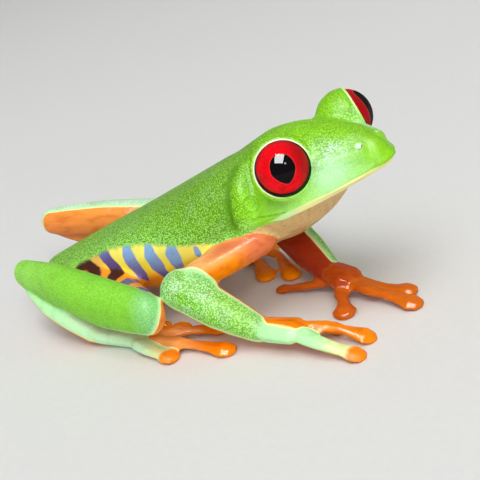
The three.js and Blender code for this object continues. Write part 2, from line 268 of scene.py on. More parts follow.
class FrogColourSettings(bpy.types.PropertyGroup):
    """Colours of the skin and eyes."""

    back: colour("Back", "Granular green of the back", (0.24, 0.56, 0.022))
    # Valleys: painted shade between the granules, in the neck fold and along the crease over the lip, and
    # random darker blotches.
    valley: colour("Valleys", "Darker green between the granules and in the folds", (0.09, 0.27, 0.008))
    low: colour("Lower back", "Soft green just over the flank's bars", (0.36, 0.86, 0.13))
    face: colour("Face", "Bright green of the head", (0.31, 0.76, 0.014))
    lime: colour("Lime", "Paler green of the cheek and snout", (0.47, 0.94, 0.20))
    # Mint laid on the lores is a painted sheen.
    mint: colour("Mint", "Pale bloom of the lores and of the limbs' edges", (0.52, 0.97, 0.47))
    # The knee's bluish green is a painted sheen.
    knee_sheen: colour("Jade", "Bluish green of the knee", (0.28, 0.70, 0.28))
    # Frost is laid as painted highlights in the wet flecks and as painted light on the shaded foot, and as a
    # pale tone on the nostril and the left shank's rim.
    frost: colour("Frost", "Pale flecks on the wet skin", (0.74, 0.94, 0.80))
    leg: colour("Leg", "Green of the shanks and forearms", (0.27, 0.74, 0.05))
    cream: colour("Cream", "Lip and the limbs' piping", (0.92, 0.90, 0.38))
    orange: colour("Orange", "Digits and hidden surfaces", (0.93, 0.25, 0.003))
    amber: colour("Amber", "Underside of the upper arm and the limbs' inner faces", (1.0, 0.50, 0.16))
    salmon: colour("Salmon", "Top of the upper arm", (0.74, 0.19, 0.07))
    # Deep red is partly the left arm's inner colour and partly painted shade.
    deep: colour("Deep red", "Inner face of the left arm", (0.42, 0.045, 0.013))
    lemon: colour("Lemon", "Top of the flank's bars", (1.0, 0.92, 0.17))
    yellow: colour("Yellow", "Middle of the flank's bars", (1.0, 0.84, 0.06))
    blue: colour("Blue", "Front patches of the flank", (0.27, 0.47, 0.84))
    violet: colour("Violet", "Lower ends of the patches", (0.15, 0.13, 0.40))
    umber: colour("Umber", "Rear patches of the flank", (0.065, 0.018, 0.010))
    tan: colour("Tan", "Throat and belly", (0.76, 0.54, 0.24))
    iris: colour("Iris", "Red of the iris", (0.88, 0.001, 0.008))
    vein: colour("Iris veins", "Darker red of the iris", (0.36, 0.004, 0.006))
    gold: colour("Gold", "Thin ring round the pupil", (0.62, 0.28, 0.14))


class FrogEyeSettings(bpy.types.PropertyGroup):
    """Sizes of the eyes and of their lid rims."""

    radius: length("Eyeball", "Radius of an eyeball", EYE_RADIUS)
    rim: length("Lid rim", "Radius of the lid rim's bead", 0.17 * MM)
    lid_depth_right: length("Right lid", LID_TEXT, 0.75 * MM)
    lid_depth_left: length("Left lid", LID_TEXT, 1.45 * MM)
    pupil_right: number("Right pupil", PUPIL_TEXT, 0.42)
    pupil_left: number("Left pupil", PUPIL_TEXT, 0.5)
    tall_right: number("Right pupil's shape", TALL_TEXT, 1.22)
    tall_left: number("Left pupil's shape", TALL_TEXT, 1.75)
    lead_right: number("Right pupil's lead", LEAD_TEXT, 0.0)
    lead_left: number("Left pupil's lead", LEAD_TEXT, 0.14)
    drop_right: number("Right pupil's drop", DROP_TEXT, 0.01)
    drop_left: number("Left pupil's drop", DROP_TEXT, 0.16)


class FrogStudioSettings(bpy.types.PropertyGroup):
    """Camera and light."""

    azimuth: number("Azimuth", "Camera's bearing round the frog, in degrees", 34.1, -360, 360)
    elevation: number("Elevation", "Camera's height angle, in degrees", 21.4, -90, 90)
    roll: number("Roll", "Camera's turn about its own axis, in degrees", -16.6, -180, 180)
    distance: length("Distance", "Camera's distance", 135.6 * MM)
    lens: number("Lens", "Focal length in millimetres on a 36 mm sensor", 78.1)
    key: number("Key light", "Power of the soft box, in watts", 12.8)
    gleam: number("Gleam", "Power of the soft box in what is wet, in watts", 185.0)
    front: number("Front light", "Power of the even panel behind the camera, in watts", 5.0)
    spark: number("Spark", "Power of the small lamp beside the soft box, in watts", 4.0)
    fill: number("Ambient", "Strength of the even light all round", 0.36)


# ---- shader expressions


def maths(operation, swapped=False):
    """A method that adds one maths node, with its own wire first, or last when swapped."""

    def method(wire, *others):
        values = (*others, wire) if swapped else (wire, *others)
        return wire.finish.add("ShaderNodeMath", {"operation": operation}, dict(enumerate(values)))

    return method


class Wire:
    """One output socket, so that shader maths reads as an expression."""

    __add__ = maths("ADD")
    __radd__ = maths("ADD", swapped=True)
    __sub__ = maths("SUBTRACT")
    __rsub__ = maths("SUBTRACT", swapped=True)
    __mul__ = maths("MULTIPLY")
    __rmul__ = maths("MULTIPLY", swapped=True)
    __truediv__ = maths("DIVIDE")
    __pow__ = maths("POWER")
    __abs__ = maths("ABSOLUTE")
    largest = maths("MAXIMUM")

    def __init__(self, finish, socket):
        self.finish = finish
        self.socket = socket

    def step(self, low, high):
        """A smooth rise from 0 at low to 1 at high, or the reverse when low is the larger."""
        first, second = (0.0, 1.0) if low < high else (1.0, 0.0)
        inputs = {"Value": self, "From Min": min(low, high), "From Max": max(low, high)}
        inputs.update({"To Min": first, "To Max": second})
        return self.finish.add("ShaderNodeMapRange", {"interpolation_type": "SMOOTHSTEP"}, inputs)


class Finish:
    """A material in the making."""

    def __init__(self, name):
        self.material = bpy.data.materials.new(name)
        self.material.use_nodes = True
        self.tree = self.material.node_tree
        self.tree.nodes.clear()

    def add(self, kind, settings=None, inputs=None, output=0):
        """Adds a node, with its settings first and then the values or wires of its sockets."""
        node = self.tree.nodes.new(kind)
        for name, value in (settings or {}).items():
            setattr(node, name, value)
        for name, value in (inputs or {}).items():
            if isinstance(value, Wire):
                self.tree.links.new(value.socket, node.inputs[name])
            elif node.inputs[name].type == "RGBA":
                node.inputs[name].default_value = (*value[:3], 1.0)
            else:
                node.inputs[name].default_value = value
        return Wire(self, node.outputs[output]) if node.outputs else None

    def mix(self, first, second, factor, blend="MIX"):
        """Blends two colours."""
        settings = {"data_type": "RGBA", "blend_type": blend}
        return self.add("ShaderNodeMix", settings, {0: factor, 6: first, 7: second}, 2)

    def tint(self, first, second, factor=1.0):
        """Multiplies one colour by another."""
        return self.mix(first, second, factor, "MULTIPLY")

    def layers(self, ground, *coats):
        """Lays colours one over another, each with its factor."""
        for tone, factor in coats:
            ground = self.mix(ground, tone, factor)
        return ground

    def field(self, name):
        """A value that the mesh carries at each point."""
        return self.add("ShaderNodeAttribute", {"attribute_name": name}, output=2)

    def tinted(self, name):
        """A colour that the mesh carries at each point."""
        return self.add("ShaderNodeAttribute", {"attribute_name": name}, output=0)

    def place(self):
        """Object coordinates, in metres."""
        return self.add("ShaderNodeTexCoord", output=3)

    def noise(self, place, scale, detail=2.0, roughness=0.5):
        inputs = {"Vector": place, "Scale": scale, "Detail": detail, "Roughness": roughness}
        return self.add("ShaderNodeTexNoise", {}, inputs)

    def cells(self, place, scale, kind="F1"):
        return self.add("ShaderNodeTexVoronoi", {"feature": kind}, {"Vector": place, "Scale": scale})

    def vector(self, operation, first, second, output=0):
        return self.add("ShaderNodeVectorMath", {"operation": operation}, {0: first, 1: second}, output)

    def bump(self, strength, distance, height):
        inputs = {"Strength": strength, "Distance": distance, "Height": height}
        return self.add("ShaderNodeBump", {}, inputs)

    def close(self, **inputs):
        """Ends the material in one shader that takes these sockets."""
        named = {name.replace("_", " "): value for name, value in inputs.items()}
        shader = self.add("ShaderNodeBsdfPrincipled", {}, named)
        self.add("ShaderNodeOutputMaterial", {}, {"Surface": shader})
        return self.material


# ---- the head's frame and the eyes' places


def unit(vector):
    vector = np.asarray(vector, float)
    return vector / np.linalg.norm(vector)


def head_axes():
    """The head's forward, left and up directions, as columns."""
    yaw = Matrix.Rotation(math.radians(HEAD_YAW), 3, "Z")
    pitch = Matrix.Rotation(math.radians(-HEAD_PITCH), 3, "Y")
    roll = Matrix.Rotation(math.radians(HEAD_ROLL), 3, "X")
    return np.array(yaw @ pitch @ roll)


def eye_centre(side):
    """The centre of an eyeball, in mm."""
    low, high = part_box(EYES[side])
    return np.array(low + high) / 2 / MM


def head_origin():
    """The origin of the head's frame, in mm."""
    middle = (eye_centre("right") + eye_centre("left")) / 2
    across = np.array((EYE_IN_HEAD[0], 0.0, EYE_IN_HEAD[2]))
    return middle - head_axes() @ across


def in_head(points):
    """Points in mm, from the row frame to the head's."""
    return (points - head_origin()) @ head_axes()


def gaze(side):
    out, up = (math.radians(angle) for angle in LOOK[side])
    ahead = (math.cos(out) * math.cos(up), SIDES[side] * math.sin(out) * math.cos(up), math.sin(up))
    return head_axes() @ unit(ahead)


# ---- surfaces as arrays


def rise(values, low, high):
    """0 below low and 1 above high, smooth between them."""
    t = np.clip((values - low) / (high - low), 0.0, 1.0)
    return t * t * (3 - 2 * t)


def fall(values, low, high):
    """1 below low and 0 above high, smooth between them."""
    return 1 - rise(values, low, high)


def hump(values, middle, width):
    """A bell of height 1."""
    return np.exp(-(((values - middle) / width) ** 2))


def bell(x, z, middle, widths):
    """A bell of height 1 over two axes."""
    return np.exp(-(((x - middle[0]) / widths[0]) ** 2) - (((z - middle[1]) / widths[1]) ** 2))


def height_at(x, line):
    """The height over x of a line of points."""
    return np.interp(x, [point[0] for point in line], [point[1] for point in line])


def read(items, attribute, width, kind):
    """An attribute of all the items in a mesh's collection, one row for each."""
    flat = np.empty(len(items) * width, kind)
    items.foreach_get(attribute, flat)
    return flat.reshape(-1, width)


class Surface:
    """A closed mesh as arrays in mm, with the sums that smoothing needs."""

    def __init__(self, mesh):
        mesh.calc_loop_triangles()
        self.points = read(mesh.vertices, "co", 3, float)
        self.faces = read(mesh.loop_triangles, "vertices", 3, np.int32)
        first, second = read(mesh.edges, "vertices", 2, np.int32).T
        self.home = np.concatenate((first, second))
        self.away = np.concatenate((second, first))
        self.degree = np.bincount(self.home, minlength=len(self.points))

    def mean(self, values):
        """Each point's value becomes the mean of its neighbours'."""
        if values.ndim > 1:
            return np.stack([self.mean(column) for column in values.T], 1)
        return np.bincount(self.home, values[self.away], len(self.degree)) / self.degree

    def spread(self, values, rounds):
        for _ in range(rounds):
            values = (values + self.mean(values)) / 2
        return values

    def normals(self):
        a, b, c = (self.points[self.faces[:, i]] for i in range(3))
        flat = np.cross(b - a, c - a)
        total = np.zeros_like(self.points)
        for corner in range(3):
            for axis in range(3):
                total[:, axis] += np.bincount(self.faces[:, corner], flat[:, axis], len(total))
        return total / np.maximum(np.linalg.norm(total, axis=1), 1e-12)[:, None]

    def relax(self, rounds, strength, keep):
        """Smooths with little shrinking: a round pulls points in, then pushes them out by a kept share."""
        pull = 0.6 * strength
        for _ in range(rounds):
            self.points += (self.mean(self.points) - self.points) * pull[:, None]
            self.points -= (self.mean(self.points) - self.points) * (pull * keep)[:, None]

    def push(self, amount):
        """Moves each point along its normal by an amount in mm."""
        self.points += self.normals() * np.asarray(amount)[..., None]


def kind_of(name):
    """upper_arm_right -> upper_arm, toe_left_3 -> toe."""
    return name.split("_right")[0].split("_left")[0]


def side_of(name):
    if "_right" in name:
        return SIDES["right"]
    return SIDES["left"] if "_left" in name else 0.0


def by_kind(table, other):
    """A value for each flesh solid, from a table by kind of solid."""
    return np.array([table.get(kind_of(name), other) for name in FLESH])


def joined(first, second):
    """Whether two flesh solids share a joint, and so their skin."""
    if side_of(first) * side_of(second) < 0:
        return False
    return any(kind_of(first) in group and kind_of(second) in group for group in JOINED)


def solid_tree(names):
    """The named solids' faces in mm, for distances, and the index in names that each face came from."""
    corners, faces, owner = [], [], []
    for index, name in enumerate(names):
        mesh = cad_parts[name].data
        start = len(corners)
        corners.extend(vertex.co / MM for vertex in mesh.vertices)
        for polygon in mesh.polygons:
            faces.append([start + corner for corner in polygon.vertices])
            owner.append(index)
    return BVHTree.FromPolygons(corners, faces), np.array(owner)


def stranger_trees():
    """For each flesh solid, the faces of all the solids that it has to keep clear of."""
    trees = {}
    for name in FLESH:
        others = [other for other in FLESH if other != name and not joined(name, other)]
        trees[name] = solid_tree(others)[0]
    return trees


def growth(distance, apart):
    """How much of the seam overlap a point takes, from its distance to a solid to keep clear of."""
    return rise(np.asarray(distance), apart * 1.2, apart * 2.4)


def fine_part(name):
    """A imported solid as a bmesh. Flesh is cut finely enough to grow evenly."""
    part = bmesh.new()
    part.from_mesh(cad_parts[name].data)
    bmesh.ops.remove_doubles(part, verts=part.verts, dist=MERGED)
    if name in FLESH:
        longest = BODY_EDGE if name in BODY else LIMB_EDGE
        for _ in range(3):
            long_edges = [edge for edge in part.edges if edge.calc_length() > longest]
            bmesh.ops.subdivide_edges(part, edges=long_edges, cuts=1)
            bmesh.ops.triangulate(part, faces=part.faces)
    part.normal_update()
    return part


def flesh_mesh(settings, trees):
    """Every flesh solid, grown until neighbours overlap, and the eyeballs, shrunk, as one mesh in mm."""
    apart = settings.apart / MM
    shell = bmesh.new()
    for name in FLESH + list(EYES.values()):
        part = fine_part(name)
        moved = []
        for vertex in part.verts:
            place = vertex.co / MM
            if name in FLESH:
                near, _, _, distance = trees[name].find_nearest(place)
                grow = settings.seam / MM * float(growth(distance, apart))
                if distance < apart:
                    away = (place - near).normalized() if distance > 1e-6 else -vertex.normal
                    place = place + away * (apart - distance) / 2
            else:
                grow = -settings.under_eye / MM
            moved.append(place + vertex.normal * grow)
        for vertex, place in zip(part.verts, moved):
            vertex.co = place
        mesh = bpy.data.meshes.new("flesh")
        part.to_mesh(mesh)
        part.free()
        shell.from_mesh(mesh)
        bpy.data.meshes.remove(mesh)
    whole = bpy.data.meshes.new("flesh")
    shell.to_mesh(whole)
    shell.free()
    return whole


def evaluated(holder):
    """A plain copy of an object's mesh with its modifiers applied."""
    bpy.context.view_layer.update()
    graph = bpy.context.evaluated_depsgraph_get()
    return bpy.data.meshes.new_from_object(holder.evaluated_get(graph))


def linked(name, mesh):
    thing = bpy.data.objects.new(name, mesh)
    bpy.context.scene.collection.objects.link(thing)
    return thing


def remeshed(mesh, voxel):
    """The union of a mesh's closed parts, as one skin of even quads."""
    holder = linked("remesh", mesh)
    remesh = holder.modifiers.new("Union", "REMESH")
    remesh.mode = "VOXEL"
    remesh.voxel_size = voxel
    remesh.adaptivity = 0.0
    made = evaluated(holder)
    bpy.data.objects.remove(holder)
    return made


@contextlib.contextmanager
def editing(mesh):
    """A mesh as a bmesh, written back at the end."""
    work = bmesh.new()
    work.from_mesh(mesh)
    yield work
    work.to_mesh(mesh)
    work.free()


def largest_part(mesh):
    """Drops the loose bits that a cavity leaves, so that one closed skin is left."""
    with editing(mesh) as work:
        work.verts.ensure_lookup_table()
        seen = [False] * len(work.verts)
        groups = []
        for start in work.verts:
            if seen[start.index]:
                continue
            seen[start.index] = True
            group = [start]
            for vertex in group:
                for edge in vertex.link_edges:
                    other = edge.other_vert(vertex)
                    if not seen[other.index]:
                        seen[other.index] = True
                        group.append(other)
            groups.append(group)
        groups.sort(key=len, reverse=True)
        for group in groups[1:]:
            bmesh.ops.delete(work, geom=group, context="VERTS")
    return mesh


def owners(points):
    """The index in FLESH of the flesh solid nearest to each point."""
    tree, owner = solid_tree(FLESH)
    nearest = [tree.find_nearest(Vector(point))[2] for point in points]
    return owner[np.array(nearest)]


def clearances(points, owner, trees, reach):
    """Each skin point's distance to the nearest solid that it keeps clear of, up to a reach."""
    distances = np.full(len(points), reach)
    for row, (point, index) in enumerate(zip(points, owner)):
        near = trees[FLESH[index]].find_nearest(Vector(point), reach)
        if near[0] is not None:
            distances[row] = near[3]
    return distances


# ---- sculpting


def mouth_height(x):
    """Height of the mouth line in the head's frame, and behind its corner of the jaw's lower edge."""
    line = MOUTH_CORNER[1] + MOUTH_RISE * (x - MOUTH_CORNER[0])
    slope = (JAW_ANGLE[1] - MOUTH_CORNER[1]) / (JAW_ANGLE[0] - MOUTH_CORNER[0])
    return np.where(x > MOUTH_CORNER[0], line, MOUTH_CORNER[1] + slope * (x - MOUTH_CORNER[0]))


def from_spot(x, level, z, spot):
    """Distance in mm from a spot that both sides of the head have."""
    return np.linalg.norm(np.stack((x, level, z), 1) - spot, axis=1)


def sculpt_head(surface, head):
    """Nostrils, eardrums, the mouth's groove and the fold behind the jaw. head is 1 on the head."""
    x, y, z = in_head(surface.points).T
    level = np.abs(y)
    amount = np.zeros(len(x))
    for spot, rings in ((NOSTRIL, NOSTRIL_RINGS), (EARDRUM, EARDRUM_RINGS)):
        away = from_spot(x, level, z, spot)
        for height, radius, width in rings:
            amount += height * hump(away, radius, width)
    mouth = mouth_height(x)
    outside = rise(level, 0.2, 1.2) + rise(x, 9.5, 10.5)
    groove = hump(z, mouth - 0.1, 0.22) * rise(x, -6.6, -5.8)
    amount -= GROOVE_DEPTH * groove * np.clip(outside, 0, 1)
    lip = hump(z, mouth + 0.45, 0.35) * rise(x, -5.5, -3.0)
    amount += LIP_HEIGHT * lip
    fold = hump(x, NECK_FOLD_X, 0.5) * rise(z, -8.5, -6.5) * fall(z, -4.5, -0.5) * rise(level, 4.0, 6.5)
    amount -= FOLD_DEPTH * fold
    chin = fall(x, 9.4, 10.6) * fall(z - mouth, -1.3, -0.25)
    amount -= chin * (CHIN_DEPTHS[0] * rise(x, -2.2, 1.2) + CHIN_DEPTHS[1] * rise(x, 3.0, 6.0))
    swell = hump(x, NECK_FOLD_X + 1.5, 0.8) * rise(z, -8.0, -6.0) * fall(z, -2.5, 0.5)
    amount += SWELL_HEIGHT * swell * rise(level, 4.0, 6.0)
    near_head = np.clip(head + 0.6 * hump(x, NECK_FOLD_X, 1.5), 0, 1)
    surface.push(amount * near_head)


def patch_inside(x, z):
    """How far inside a dark patch of the flank each point is, in mm, and how blue the nearest patch is."""
    inside = np.full(len(x), -99.0)
    tone = np.zeros(len(x))
    for blueness, line in PATCHES:
        for (x0, z0, r0), (x1, z1, r1) in zip(line, line[1:]):
            share = ((x - x0) * (x1 - x0) + (z - z0) * (z1 - z0)) / ((x1 - x0) ** 2 + (z1 - z0) ** 2)
            share = np.clip(share, 0.0, 1.0)
            away = np.hypot(x - x0 - share * (x1 - x0), z - z0 - share * (z1 - z0))
            reach = r0 + share * (r1 - r0) - away
            nearer = reach > inside
            inside[nearer] = reach[nearer]
            tone[nearer] = blueness
    return inside, tone


def limb_coat(points, weights, normals):
    """On the limbs, how far round towards the green side a point faces, and the limbs' share of it."""
    cap = 0.5 * (ELBOW_CAP - np.linalg.norm(points - ELBOW, axis=1))
    cap = np.minimum(cap, normals @ unit(COATS["forearm_right"][0]) + 0.3)
    total = np.zeros(len(normals))
    value = np.zeros(len(normals))
    for index, name in enumerate(FLESH):
        if kind_of(name) in (*BODY, "thigh"):
            continue
        facing = np.full(len(normals), COAT_RANGE[0])
        if name in COATS:
            direction, limit = COATS[name]
            facing = np.clip(normals @ unit(direction) - limit, *COAT_RANGE)
        if name == "shank_left":
            facing = np.clip(facing + 0.9 * fall(along(points, name), 0.0, 0.07), *COAT_RANGE)
        if name in ("upper_arm_right", "forearm_right"):
            facing = np.clip(np.maximum(facing, cap), *COAT_RANGE)
        value += weights[:, index] * facing
        total += weights[:, index]
    known = total > 1e-3
    coat = np.full(len(normals), COAT_RANGE[0])
    coat[known] = value[known] / total[known]
    return coat, np.clip(total, 0, 1)


def digit_tips(points):
    """Distance in mm from each point to the nearest digit's tip."""
    nearest = np.full(len(points), 100.0)
    for name in DIGITS:
        kind = "hand" if name.startswith("finger") else "foot"
        low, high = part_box(kind + ("_right" if "_right" in name else "_left"))
        root = np.array(low + high) / 2 / MM
        corners = np.array([vertex.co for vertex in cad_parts[name].data.vertices]) / MM
        away = np.linalg.norm(corners - root, axis=1)
        tip = corners[away > away.max() - TIP_LENGTH].mean(axis=0)
        nearest = np.minimum(nearest, np.linalg.norm(points - tip, axis=1))
    return nearest


class Paint:
    """Colours over the skin's points, laid one over another."""

    def __init__(self, tones, ground, count):
        self.tones = tones
        self.colours = np.tile(np.array(getattr(tones, ground)[:]), (count, 1))

    def lay(self, tone, mask):
        mask = np.clip(mask, 0.0, 1.0)[:, None]
        self.colours += (np.array(getattr(self.tones, tone)[:]) - self.colours) * mask


def along(points, name):
    """0 at the rear end of a limb piece and 1 at its front end."""
    low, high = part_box(name)
    return (points[:, 0] * MM - low[0]) / (high[0] - low[0])


def green_side(points, normals, place, share, above_edge, tones):
    """The colour of the green side at each point, before its grain, with painted light and shade on the head,
    knee and right foot.
    """
    x, y, z = place.T
    level = np.abs(y)
    paint = Paint(tones, "back", len(points))
    # The lower back's soft green is partly the skin's paler band over the bars and partly painted light that
    # lifts the shade there.
    paint.lay("low", np.exp(-(np.maximum(above_edge, 0.0) / 2.1) ** 2))
    paint.lay("low", 0.5 * fall(points[:, 0], -22.0, -13.0))
    paint.lay("face", share["head"])
    temple = fall(x, -9.5, -7.0) * rise(z, -9.0, -6.5)
    paint.lay("back", 0.75 * temple * share["head"])
    # Painted shade: the snout, most of all its top, is darkened towards the back's green to hold down the
    # light that falls on it.
    snout = rise(x, 5.5, 8.5) * (0.4 + 0.6 * rise(z, -1.2, 0.6))
    paint.lay("back", 0.9 * snout * share["head"])
    # Painted light: a paler cheek under the eye, a mint sheen on the lores and a highlight on the jaw's
    # angle.
    for tone, strength, middle, widths, outward in HEAD_PAINTED_LIGHT:
        spot = bell(x, z, middle, widths) * rise(level, *outward)
        paint.lay(tone, strength * spot * share["head"])

    for side in SIDES:
        fore = share["forearm_" + side] + share["upper_arm_" + side]
        at = along(points, "forearm_" + side)
        paint.lay("leg", fore)
        paint.lay("lime", 0.7 * rise(at, 0.3, 0.8) * fore)
        paint.lay("mint", fall(at, 0.02, 0.27) * fore + 0.6 * share["upper_arm_" + side])
        paint.lay("mint", 0.75 * rise(at, 0.78, 1.0) * fore)
        shank = share["shank_" + side]
        at = along(points, "shank_" + side)
        paint.lay("leg", shank)
        paint.lay("lime", 0.45 * fall(at, 0.05, 0.5) * shank)
        # A painted bluish sheen on the knee.
        paint.lay("knee_sheen", 0.8 * rise(at, 0.84, 0.97) * shank)
        paint.lay("mint", share["tarsus_" + side])
        paint.lay("mint", share["hand_" + side] + share["foot_" + side])
    for name in PALE_DIGITS:
        paint.lay("mint", share[name])
    # Painted light: the right tarsus, foot and outer toe, turned down into shade, are paler towards the
    # front.
    shaded_foot = share["tarsus_right"] + share["foot_right"] + share["toe_right_5"]
    paint.lay("frost", 0.4 * rise(points[:, 0], -22.0, -9.0) * shaded_foot)
    for name in PALE_DIGITS:
        paint.lay("cream", 0.85 * rise(along(points, name), 0.25, 0.7) * share[name])
    inner_rim = rise(normals @ unit((0.0, -0.7, 0.7)), 0.1, 0.5)
    paint.lay("frost", 0.75 * inner_rim * share["shank_left"])
    return paint.colours


def hidden_side(points, normals, share, tones):
    """The colour of the limbs' orange side at each point, with painted highlights on the upper arm and right
    toes and painted shade on the left arm.
    """
    paint = Paint(tones, "orange", len(points))
    arm = share["upper_arm_right"] + share["upper_arm_left"]
    at = along(points, "upper_arm_right")
    facing = normals @ unit(OVERHEAD)
    # Amber over the middle of the upper arm, between salmon above and orange below, is partly its colour and
    # partly a painted highlight.
    paint.lay("amber", arm)
    paint.lay("orange", fall(facing, -0.35, 0.25) * arm)
    red = rise(facing, 0.0, 0.5) * rise(at, 0.2, 0.5) + rise(at, 0.6, 0.85)
    paint.lay("salmon", 0.95 * np.clip(red, 0, 1) * arm)
    for name in ("forearm", "shank", "tarsus"):
        for side in SIDES:
            paint.lay("amber", 0.35 * share[name + "_" + side])
    paint.lay("salmon", 0.4 * fall(facing, -0.5, 0.4) * share["shank_left"])
    # Painted highlight: amber on the rear of the right toes and foot stands in for their wet glints.
    for name in ("toe_right_3", "toe_right_4", "foot_right"):
        paint.lay("amber", 0.7 * fall(along(points, name), 0.3, 0.8) * share[name])
    # The orange side of the left arm, hand and fingers is laid deep red: partly their deeper inner colour,
    # partly painted shade on the far side.
    paint.lay("deep", share["forearm_left"] + share["upper_arm_left"])
    paint.lay("deep", 0.8 * share["hand_left"])
    for finger, shade_share in enumerate((0.65, 0.65, 0.5, 0.5), 1):
        paint.lay("deep", shade_share * share[f"finger_left_{finger}"])
    return paint.colours


def flank_bars(points, drop, tones):
    """The colour of the flank between its patches."""
    rear = fall(points[:, 0], -15.0, -7.0)
    paint = Paint(tones, "lemon", len(points))
    paint.lay("yellow", rise(drop + 1.2 * rear, 0.9, 3.0))
    paint.lay("orange", 0.8 * rise(drop + 2.2 * rear, 3.0, 5.8))
    paint.lay("salmon", 0.5 * rise(rear, 0.3, 0.8))
    return paint.colours


def flank_darks(drop, tone, tones):
    """The colour of the flank's patches: grey-blue above and violet below in front, umber at the rear."""
    paint = Paint(tones, "umber", len(drop))
    paint.lay("violet", rise(tone - 0.08 * drop, 0.05, 0.4))
    paint.lay("blue", rise(tone - 0.13 * drop, 0.25, 0.85))
    return paint.colours


def lip_tones(x, tones):
    """The lip's colour from the green rear to the cream front."""
    paint = Paint(tones, "cream", len(x))
    paint.lay("mint", 0.7 * fall(x, -1.5, 2.4))
    paint.lay("lime", 0.8 * fall(x, -4.5, -2.0))
    return paint.colours


def head_fields(place, head, grain):
    """The values that the head's finish follows: its grain, mouth, lip, nostrils, eardrums and fold."""
    x, y, z = place.T
    level = np.abs(y)
    above_throat = z - height_at(x, THROAT_TOP)
    nostril = from_spot(x, level, z, NOSTRIL) + 0.2 * (y > 0)
    trim = 0.24 * fall(x, -4.5, -0.6) + 4.0 * fall(x, -6.6, -5.2)
    smooth = 0.8 * rise(x, -8.5, -4.5) * (1 - 0.6 * rise(z, -0.8, 1.2))
    from_crease = np.abs(z - height_at(x, CREASE))
    return {
        "mouth": above_throat,
        "lip": np.minimum(above_throat, height_at(x, LIP_TOP) - z) - trim,
        "crease": from_crease + 3.0 * rise(x, -1.0, 1.2) + 3.0 * fall(x, -7.2, -6.2),
        "nostril": nostril,
        "slit": np.hypot((x - NOSTRIL[0] - 0.22) * 2.2, z - NOSTRIL[2]) + 5.0 * (nostril > 0.6),
        "grain": grain * (1 - smooth * head),
        "drum": from_spot(x, level, z, EARDRUM),
        "fold": hump(x, NECK_FOLD_X, 0.75) * rise(z, -8.5, -6.5) * fall(z, -1.0, 2.0) * rise(level, 4, 6.5),
    }


def painted_wet_sheen(points, place, share):
    """How thickly pale flecks, painted highlights of the wet granules, lie on the lores, knee, elbow and
    back.
    """
    x, y, z = place.T
    bloom = 1.6 * bell(x, z, (5.0, -0.3), (2.6, 1.5)) * rise(np.abs(y), 1.5, 3.0) * share["head"]
    knee_at = along(points, "shank_right")
    knee = 0.8 * rise(knee_at, 0.88, 0.96) * share["shank_right"] * fall(points[:, 2], 6.2, 8.4)
    arm_at = along(points, "forearm_right")
    elbow = share["forearm_right"] * fall(arm_at, 0.1, 0.75)
    mid_arm = share["forearm_right"] * hump(arm_at, 0.5, 0.22)
    return np.clip(bloom + 0.9 * knee + 0.45 * mid_arm + 0.4 * elbow + 0.12 * share["trunk"], 0, 1)


def skin_fields(surface, weights, tones):
    """The smooth values and colours that the skin's material follows, by name."""
    points = surface.points
    normals = surface.spread(surface.normals(), 8)
    normals /= np.maximum(np.linalg.norm(normals, axis=1), 1e-9)[:, None]
    share = {name: weights[:, index] for index, name in enumerate(FLESH)}
    share["head"] = share["head"] + share["lower_jaw"]
    place = in_head(points)
    above_edge = points[:, 2] - np.interp(points[:, 0], FLANK_X, FLANK_TOP)
    inside, tone = patch_inside(points[:, 0], points[:, 2])
    coat, limbs = limb_coat(points, weights, normals)
    values = {
        "head": share["head"],
        "limbs": limbs,
        "coat": surface.spread(coat, 12),
        "edge": above_edge,
        "belly": points[:, 2] - np.interp(points[:, 0], FLANK_X, BELLY_TOP),
        "patch": np.minimum(inside, 0.3 - above_edge),
        "frost": painted_wet_sheen(points, place, share),
        "tip": digit_tips(points),
    }
    grain = surface.spread(weights @ by_kind(GRANULARITY, GRAIN_ELSEWHERE), 4)
    values.update(head_fields(place, share["head"], grain))
    values["fold"] = values["fold"] * np.clip(share["head"] + share["trunk"], 0, 1)
    drop = np.maximum(-above_edge, 0.0) + 3.5 * (share["thigh_right"] + share["thigh_left"])
    colours = {
        "green_side": green_side(points, normals, place, share, above_edge, tones),
        "hidden_side": hidden_side(points, normals, share, tones),
        "bars": flank_bars(points, drop, tones),
        "darks": flank_darks(drop, tone, tones),
        "lip_tone": lip_tones(place[:, 0], tones),
    }
    return values, colours


# ---- materials


def noise_of(finish, place, name):
    """One of the named noises."""
    return finish.noise(place, *NOISES[name])


